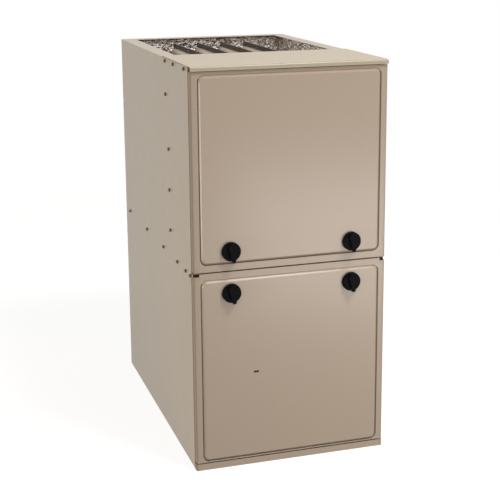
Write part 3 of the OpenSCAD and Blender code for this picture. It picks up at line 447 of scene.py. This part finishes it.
def node_finishes():
    """Materials of the nodes that carry more than the one finish of their slot."""
    made = {
        # Painted light on the front lip
        "top_front_panel": zoned(painted_steel("top_panel_paint", CASING_COLOR),
                                 (ANYWHERE, (None, -0.8, None), LIP_PAINTED_LIGHT)),
        "casing_screws": turned_metal("screw_steel", (0.17, 0.125, 0.08), 0.36, 0.7),
        "control_board": board_parts("board_parts"),
        # Bare end bells
        "blower_motor": zoned(MATERIALS["motor_paint"]("blower_motor_shell"),
                              (ANYWHERE, (34, None, None), ZINC), ((120, None, None), ANYWHERE, ZINC)),
        # Bare mounting flange and end cap
        "inducer_motor": zoned(MATERIALS["motor_paint"]("inducer_motor_shell"),
                               ((None, 77.8, None), ANYWHERE, ZINC), (ANYWHERE, (None, 31, None), ZINC)),
        # Terminal block, terminals, screws and ring on the front, cap
        "gas_valve": zoned(MATERIALS["cast_aluminium"]("gas_valve_body"),
                           (ANYWHERE, (104.9, None, None), DARK), (ANYWHERE, (99.9, None, None), TIN),
                           (ANYWHERE, (None, 33.9, None), DARK), ((None, None, 667.1), ANYWHERE, TIN)),
        # Heating element
        "igniter": zoned(MATERIALS["ceramic"]("igniter_ceramic"), ((None, None, 521.1), ANYWHERE, CARBIDE)),
        # Rod, nut and terminal
        "flame_sensor": zoned(MATERIALS["ceramic"]("sensor_ceramic"),
                              (ANYWHERE, (114.9, None, None), TIN),
                              ((124.8, None, None), (128.1, None, None), ZINC),
                              ((141.1, None, None), ANYWHERE, TIN)),
        "rollout_switch_right": rollout("rollout_right_parts", 1),
        "rollout_switch_left": rollout("rollout_left_parts", -1),
        # Flange with the probe behind it, and terminals
        "limit_switch": zoned(MATERIALS["black_plastic"]("limit_parts"),
                              ((None, 188.4, None), ANYWHERE, ZINC), (ANYWHERE, (None, 177, None), TIN)),
        # Bracket and terminals
        "pressure_switch": zoned(MATERIALS["grey_plastic"]("pressure_switch_parts"),
                                 ((None, 182.1, None), ANYWHERE, ZINC),
                                 (ANYWHERE, (None, 160.9, 679), TIN)),
        # Winding on both sides of the core, and mounting plate
        "transformer": zoned(MATERIALS["transformer_steel"]("transformer_parts"),
                             (ANYWHERE, (None, 75.9, None), WINDING),
                             ((None, 122.1, None), ANYWHERE, WINDING),
                             ((None, 127.9, None), ANYWHERE, ZINC)),
        # Terminals
        "door_switch": zoned(MATERIALS["black_plastic"]("door_switch_parts"),
                             ((None, 47, None), ANYWHERE, TIN)),
        # Insulating cap
        "blower_capacitor": zoned(cast_metal("capacitor_can", (0.56, 0.56, 0.56), 0.3),
                                  ((None, None, 366.5), ANYWHERE, DARK)),
    }
    for number in range(1, 5):
        made["heat_exchanger_cell_%d" % number] = cell_steel("cell_steel_%d" % number)
    knob = knob_plastic("knob_plastic")
    for node in ("knob_upper_left", "knob_upper_right", "knob_lower_left", "knob_lower_right"):
        made[node] = knob
    return made


def wear(piece, material):
    piece.data.materials.clear()
    piece.data.materials.append(material.data)


def dress_cad_nodes():
    """Give every CAD node its material, and return the materials by slot."""
    made = {}
    for part in frame["record"]["subparts"]:
        slot = part["material_slot"]
        if slot not in made:
            made[slot] = MATERIALS[slot](slot)
        wear(frame["nodes"][part["node"]], made[slot])
    for node, material in node_finishes().items():
        wear(frame["nodes"][node], material)
    return made


# ---------- studio ----------

# Strength of the world as light, and as the white that cameras and reflections see
AMBIENT = 0.28
WHITE = 1.0
# The floor's own glow to the same rays, its colour, its radius and the ring over which it fades out
FLOOR_GLOW = 0.86
FLOOR_COLOR = (0.35, 0.34, 0.32)
FLOOR_RADIUS = 4.0
FLOOR_FADE = (0.9, 3.6)
# Name, place, target, size in metres, watts, colour
LAMPS = (
    ("main", (0.88, -1.63, 3.34), (0, -0.35, 0.70), (0.8, 0.8), 60, (1, 1, 0.98)),
    ("left_strip", (-1.9, -0.68, 0.35), (-0.2, -0.35, 0.6), (0.3, 0.8), 7.4, (1, 0.94, 0.84)),
    ("floor_right", (0.62, -1.40, 0.10), (0.2, -0.36, 0.42), (0.9, 0.66), 5.8, (1, 1, 1)),
)


def area_light(name, place, target, size, watts, color):
    data = bpy.data.lights.new(name, "AREA")
    data.shape = "RECTANGLE"
    data.size, data.size_y = size
    data.energy = watts
    data.color = color
    lamp = bpy.data.objects.new(name, data)
    bpy.context.collection.objects.link(lamp)
    lamp.location = place
    lamp.visible_camera = False
    lamp.rotation_euler = (Vector(target) - Vector(place)).to_track_quat("-Z", "Y").to_euler()


def seen_rays(tree):
    """1 for the rays that show the white surroundings: camera, glossy and transmission."""
    path = tree.nodes.new("ShaderNodeLightPath")
    total = path.outputs["Is Camera Ray"]
    for name in ("Is Glossy Ray", "Is Transmission Ray"):
        either = tree.nodes.new("ShaderNodeMath")
        either.operation = "MAXIMUM"
        tree.links.new(total, either.inputs[0])
        tree.links.new(path.outputs[name], either.inputs[1])
        total = either.outputs[0]
    return total


def make_world():
    world = bpy.data.worlds.new("studio")
    bpy.context.scene.world = world
    world.use_nodes = True
    tree = world.node_tree
    tree.nodes.clear()
    out = tree.nodes.new("ShaderNodeOutputWorld")
    mix = tree.nodes.new("ShaderNodeMixShader")
    light, white = (tree.nodes.new("ShaderNodeBackground") for _ in range(2))
    light.inputs["Color"].default_value = (1, 1, 1, 1)
    light.inputs["Strength"].default_value = AMBIENT
    white.inputs["Color"].default_value = (1, 1, 1, 1)
    white.inputs["Strength"].default_value = WHITE
    tree.links.new(seen_rays(tree), mix.inputs["Fac"])
    tree.links.new(light.outputs[0], mix.inputs[1])
    tree.links.new(white.outputs[0], mix.inputs[2])
    tree.links.new(mix.outputs[0], out.inputs["Surface"])


def make_floor():
    """A disc that takes shadows, looks white and fades into the world at its rim."""
    bpy.ops.mesh.primitive_circle_add(vertices=96, radius=FLOOR_RADIUS, fill_type="NGON")
    floor = bpy.context.object
    floor.name = "floor"
    material = bpy.data.materials.new("floor_white")
    material.use_nodes = True
    tree = material.node_tree
    tree.nodes.clear()
    link = tree.links.new

    sheet = tree.nodes.new("ShaderNodeBsdfDiffuse")
    sheet.inputs["Color"].default_value = (*FLOOR_COLOR, 1)
    strength = tree.nodes.new("ShaderNodeMath")
    strength.operation = "MULTIPLY"
    strength.inputs[1].default_value = FLOOR_GLOW
    link(seen_rays(tree), strength.inputs[0])
    glow = tree.nodes.new("ShaderNodeEmission")
    link(strength.outputs[0], glow.inputs["Strength"])
    both = tree.nodes.new("ShaderNodeAddShader")
    link(sheet.outputs[0], both.inputs[0])
    link(glow.outputs[0], both.inputs[1])

    place = tree.nodes.new("ShaderNodeTexCoord")
    radius = tree.nodes.new("ShaderNodeVectorMath")
    radius.operation = "LENGTH"
    link(place.outputs["Object"], radius.inputs[0])
    edge = tree.nodes.new("ShaderNodeMapRange")
    edge.interpolation_type = "SMOOTHSTEP"
    edge.inputs["From Min"].default_value, edge.inputs["From Max"].default_value = FLOOR_FADE
    link(radius.outputs["Value"], edge.inputs["Value"])

    clear = tree.nodes.new("ShaderNodeBsdfTransparent")
    fade = tree.nodes.new("ShaderNodeMixShader")
    link(edge.outputs["Result"], fade.inputs["Fac"])
    link(both.outputs[0], fade.inputs[1])
    link(clear.outputs[0], fade.inputs[2])
    out = tree.nodes.new("ShaderNodeOutputMaterial")
    link(fade.outputs[0], out.inputs["Surface"])
    floor.data.materials.append(material)


def make_lights():
    for lamp in LAMPS:
        area_light(*lamp)


# ---------- new pieces ----------

def add_piece(name, mesh, finish, slot, *replaced):
    """A piece on the casing that stands in for the CAD nodes named last."""
    piece = bpy.data.objects.new(name, mesh)
    bpy.context.collection.objects.link(piece)
    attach(piece, "casing")
    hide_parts(*replaced)
    wear(piece, finish)
    return piece


# ---------- foil facings ----------

# Mean size of the facets, how far their corners stray from a grid as a share of that, and how far in the
# deepest ones lie; the power leaves most of them shallow
FOIL_SPACING = 6.0 * MM
FOIL_STRAY = 0.42
FOIL_DEPTH = 3.4 * MM
FOIL_POWER = 1.4
# The facing is folded round the slab's rim and stops this far from the wall
FOIL_WALL_GAP = 1.0 * MM
# Node it covers, the way it faces, and the seed of its folds
FOILS = {
    "foil_left": ("foil_insulation_left", (1, 0, 0), 3),
    "foil_right": ("foil_insulation_right", (-1, 0, 0), 5),
    "foil_back": ("foil_insulation_back", (0, -1, 0), 8),
}


def crumpled_sheet(width, height, seed):
    """Facets of a crumpled sheet, as its points in u, v and depth, and its faces."""
    dice = random.Random(seed)
    columns, rows = round(width / FOIL_SPACING), round(height / FOIL_SPACING)

    def strayed(on_rim):
        return 0 if on_rim else dice.uniform(-FOIL_STRAY, FOIL_STRAY) * FOIL_SPACING

    flat, depths = [], []
    for j in range(rows + 1):
        for i in range(columns + 1):
            u = width * i / columns + strayed(i in (0, columns))
            v = height * j / rows + strayed(j in (0, rows))
            flat.append(Vector((u, v)))
            depths.append(dice.uniform(0, 1) ** FOIL_POWER * FOIL_DEPTH)
    points, _, faces, origins, _, _ = geometry.delaunay_2d_cdt(flat, [], [], 0, 1e-7)
    return [(p.x, p.y, depths[o[0]] if o else 0) for p, o in zip(points, origins)], faces


def foil_mesh(name, low, high, inward, seed):
    """Crumpled facing over the box from low to high, folded back round its rim."""
    across = 0 if inward[0] else 1
    along = 1 - across
    size = high - low
    width, height = size[along], size.z
    wrap = size[across] - FOIL_WALL_GAP
    face = high[across] if inward[across] > 0 else low[across]
    points, faces = crumpled_sheet(width + 2 * wrap, height + 2 * wrap, seed)
    verts = []
    for u, v, depth in points:
        u, v = u - wrap, v - wrap
        folded = max(0, -u, u - width, -v, v - height)
        place = low.copy()
        place[along] += min(max(u, depth), width - depth)
        place.z += min(max(v, depth), height - depth)
        place[across] = face - inward[across] * (folded or depth)
        verts.append(place)
    mesh = bpy.data.meshes.new(name)
    mesh.from_pydata(verts, [], faces)
    mesh.validate()
    return mesh


def make_foil(finishes):
    slot = "foil_faced_insulation"
    for name, (node, inward, seed) in FOILS.items():
        add_piece(name, foil_mesh(name, *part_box(node), inward, seed), finishes[slot], slot, node)


# ---------- wires and hose ----------

BLACK, WHITE_WIRE, GREEN, RED = "black", "white", "green", "red"
BLUE, YELLOW, BROWN = "blue", "yellow", "brown"
WIRE_COLORS = {
    BLACK: (0.010, 0.010, 0.011), WHITE_WIRE: (0.70, 0.69, 0.65), GREEN: (0.02, 0.16, 0.05),
    RED: (0.40, 0.02, 0.015), BLUE: (0.02, 0.06, 0.32), YELLOW: (0.62, 0.43, 0.03),
    BROWN: (0.10, 0.045, 0.018),
}
# Each bundle's route and wire radius in part.scad's millimetres, as its harness has them, and its wires
BUNDLES = (
    (((165.25, 90, 466), (165.25, 100, 448), (165.25, 150, 442), (164.25, 150, 410),
      (141.25, 140, 380), (118, 122, 336), (110.6, 119, 330)), 1.35, (BLACK, WHITE_WIRE, GREEN)),
    (((132.95, 91, 599), (132.95, 98, 598), (144.95, 112, 579), (156.25, 144, 500),
      (156.25, 150, 440), (155.25, 150, 406), (90, 110, 392), (10, 110, 320), (0, 112.5, 303)),
     1.2, (BROWN, YELLOW, BLUE)),
    (((8.5, 55, 781), (14, 54, 778), (30, 49, 750), (70, 70, 680), (104, 182, 630),
      (162.25, 178, 565), (162.25, 157, 480), (161.25, 157, 428), (147.25, 146, 400),
      (106, 137, 364), (104, 131.4, 358)), 1.05, (BLACK, WHITE_WIRE, RED, GREEN)),
    (((123, 382, 260), (128, 378, 265), (148, 340, 275), (148, 190, 275), (106, 140, 268),
      (100, 131.6, 264)), 1.15, (BLACK, BLUE, RED, YELLOW, WHITE_WIRE)),
)
WIRE_STEP = 4 * MM
WIRE_BEND = 26 * MM
TWIST_PITCH = 110 * MM
# Distance between wires in a bundle, as a share of touching
WIRE_ROOM = 1.04
# Ties: their spacing, the band's thickness and half width in millimetres, the head's size and bevel, and
# how far its middle is beyond the bundle's radius in millimetres
TIE_SPACING = 55 * MM
TIE_THICK, TIE_HALF = 0.9, 1.2
TIE_HEAD = (3.4 * MM, 4.2 * MM, 3.6 * MM)
TIE_HEAD_BEVEL = 0.5 * MM
TIE_HEAD_OUT = 1.4
# Bushing at a bundle's end: (beyond the bundle's radius, along it) in millimetres
BUSHING = ((0.2, -0.6), (3, -0.6), (3, 0.8), (1.6, 1.6), (1.2, 4.5), (0.2, 5))


def from_face(x, y, z):
    """A place given as part.scad gives it."""
    return Vector((x, y + DOOR_FACE_Y, z)) * MM


def rounded_route(points, bend, share=0.48, steps=8):
    """The route with its corners made curves, which start bend before a corner or that share of a leg."""
    path = [points[0]]
    for before, corner, after in zip(points, points[1:], points[2:]):
        legs = [before - corner, after - corner]
        start, end = (corner + leg.normalized() * min(bend, share * leg.length) for leg in legs)
        for k in range(steps + 1):
            f = k / steps
            path.append(start * (1 - f) ** 2 + corner * 2 * f * (1 - f) + end * f * f)
    path.append(points[-1])
    return path


def even_path(path, spacing):
    """The same line with points about every spacing."""
    legs = [(b - a).length for a, b in zip(path, path[1:])]
    total = sum(legs)
    count = max(2, round(total / spacing))
    made, leg, walked = [], 0, 0.0
    for k in range(count + 1):
        target = total * k / count
        while leg < len(legs) - 1 and walked + legs[leg] < target:
            walked += legs[leg]
            leg += 1
        f = (target - walked) / legs[leg] if legs[leg] else 0
        made.append(path[leg].lerp(path[leg + 1], min(f, 1)))
    return made


def carried_frames(path):
    """Each point of the path with two unit vectors across it that never spin about it."""
    frames, across = [], None
    for i, point in enumerate(path):
        ahead = (path[min(i + 1, len(path) - 1)] - path[max(i - 1, 0)]).normalized()
        across = ahead.orthogonal() if across is None else across
        across = (across - ahead * across.dot(ahead)).normalized()
        frames.append((point, across, ahead.cross(across)))
    return frames


def add_rings(shape, rings, closed=False):
    for first, second in zip(rings, rings[1:] + rings[:1] if closed else rings[1:]):
        for k in range(len(first)):
            after = (k + 1) % len(first)
            shape.faces.new((first[k], first[after], second[after], second[k]))


def ring_at(shape, place, u, v, radius, sides):
    return [shape.verts.new(place + (u * math.cos(a) + v * math.sin(a)) * radius)
            for a in (2 * math.pi * k / sides for k in range(sides))]


def add_tube(shape, path, radius, sides=8):
    rings = [ring_at(shape, place, u, v, radius, sides) for place, u, v in carried_frames(path)]
    add_rings(shape, rings)
    shape.faces.new(rings[0][::-1])
    shape.faces.new(rings[-1])


def add_pipe(shape, path, outer, inner, sides=20):
    """A tube with a bore, open at both ends."""
    frames = carried_frames(path)
    outside = [ring_at(shape, place, u, v, outer, sides) for place, u, v in frames]
    inside = [ring_at(shape, place, u, v, inner, sides) for place, u, v in frames]
    add_rings(shape, outside + inside[::-1], closed=True)


def add_turned(shape, profile, place, ahead, sides=24):
    """A closed profile of (radius, height) turned about the axis that starts at place."""
    ahead = ahead.normalized()
    u = ahead.orthogonal().normalized()
    v = ahead.cross(u)
    rings = [ring_at(shape, place + ahead * h * MM, u, v, r * MM, sides) for r, h in profile]
    add_rings(shape, rings, closed=True)


def add_block(shape, center, size, bevel, turn):
    """A block with rounded edges; center and size in metres."""
    made = bmesh.ops.create_cube(shape, size=1)["verts"]
    matrix = Matrix.Translation(center) @ turn @ Matrix.Diagonal((*size, 1))
    bmesh.ops.transform(shape, matrix=matrix, verts=made)
    edges = list(dict.fromkeys(edge for vert in made for edge in vert.link_edges))
    bmesh.ops.bevel(shape, geom=edges, offset=bevel, segments=2, affect="EDGES", profile=0.7)


def sort_by_place(shape):
    """Corners and faces in the order of their places, as a bevel makes them in another order each run."""
    for i, vert in enumerate(sorted(shape.verts, key=lambda vert: tuple(vert.co))):
        vert.index = i
    shape.verts.sort()
    for i, face in enumerate(sorted(shape.faces, key=lambda face: sorted(vert.index for vert in face.verts))):
        face.index = i
    shape.faces.sort()


def make_piece(name, shape, finish, slot, *replaced):
    """A smooth piece from a bmesh."""
    mesh = bpy.data.meshes.new(name)
    bmesh.ops.recalc_face_normals(shape, faces=shape.faces[:])
    shape.to_mesh(mesh)
    shape.free()
    mesh.shade_smooth()
    mesh.set_sharp_from_angle(angle=math.radians(40))
    return add_piece(name, mesh, finish, slot, *replaced)


def add_tie(shape, place, outward, ahead, around):
    """A tie round a bundle: a band and its head; around is the bundle's radius in millimetres."""
    outer = around + TIE_THICK
    band = [(around, -TIE_HALF), (outer, -TIE_HALF), (outer, TIE_HALF), (around, TIE_HALF)]
    add_turned(shape, band, place, ahead)
    turn = ahead.to_track_quat("Z", "Y").to_matrix().to_4x4()
    add_block(shape, place + outward * (around + TIE_HEAD_OUT) * MM, TIE_HEAD, TIE_HEAD_BEVEL, turn)


def twisted_wire(frames, start, offset):
    """A line that winds round the path at this offset."""
    line = []
    for i, (place, u, v) in enumerate(frames):
        angle = 2 * math.pi * (start + i * WIRE_STEP / TWIST_PITCH)
        line.append(place + (u * math.cos(angle) + v * math.sin(angle)) * offset)
    return line


def make_wires():
    by_color = {color: bmesh.new() for color in WIRE_COLORS}
    ties, bushings = bmesh.new(), bmesh.new()
    stride = round(TIE_SPACING / WIRE_STEP)
    for points, wire_r, colors in BUNDLES:
        route = even_path(rounded_route([from_face(*p) for p in points], WIRE_BEND), WIRE_STEP)
        frames = carried_frames(route)
        offset = WIRE_ROOM * wire_r * MM / math.sin(math.pi / len(colors))
        for k, color in enumerate(colors):
            add_tube(by_color[color], twisted_wire(frames, k / len(colors), offset), wire_r * MM)
        around = offset / MM + wire_r
        for i in range(stride // 2, len(route) - stride // 3, stride):
            place, outward, _ = frames[i]
            add_tie(ties, place, outward, (route[i + 1] - route[i - 1]).normalized(), around)
        profile = [(around + out, along) for out, along in BUSHING]
        for end, ahead in ((route[0], route[1] - route[0]), (route[-1], route[-2] - route[-1])):
            add_turned(bushings, profile, end, ahead)
    for color, shape in by_color.items():
        coat = wire_coat("wire_" + color, WIRE_COLORS[color])
        make_piece("wires_" + color, shape, coat, "rubber", "wiring_harness")
    black = MATERIALS["black_plastic"]("tie_plastic")
    sort_by_place(ties)
    make_piece("wire_ties", ties, black, "rubber", "wiring_harness")
    make_piece("wire_bushings", bushings, rubber("bushing_rubber"), "rubber", "wiring_harness")


# From nipple to nipple, slid 10 mm over each, in part.scad's millimetres
HOSE_ROUTE = ((-169.25, 168, 726), (-169.25, 168, 802), (-118, 167, 802))
HOSE_DIAMETER = 0.008
HOSE_BORE_R = 3.1 * MM
# How far before its corner the bend starts, which is more than half of the shorter leg
HOSE_BEND = 34 * MM
HOSE_BEND_SHARE = 0.9
HOSE_STEP = 2.5 * MM


def make_hose(finishes):
    shape = bmesh.new()
    corners = [from_face(*p) for p in HOSE_ROUTE]
    route = even_path(rounded_route(corners, HOSE_BEND, HOSE_BEND_SHARE, 16), HOSE_STEP)
    add_pipe(shape, route, HOSE_DIAMETER / 2, HOSE_BORE_R)
    hose = make_piece("pressure_hose_tube", shape, finishes["rubber"], "rubber", "pressure_hose")


make_camera()
make_world()
make_floor()
make_lights()
finishes = dress_cad_nodes()
make_foil(finishes)
make_wires()
make_hose(finishes)
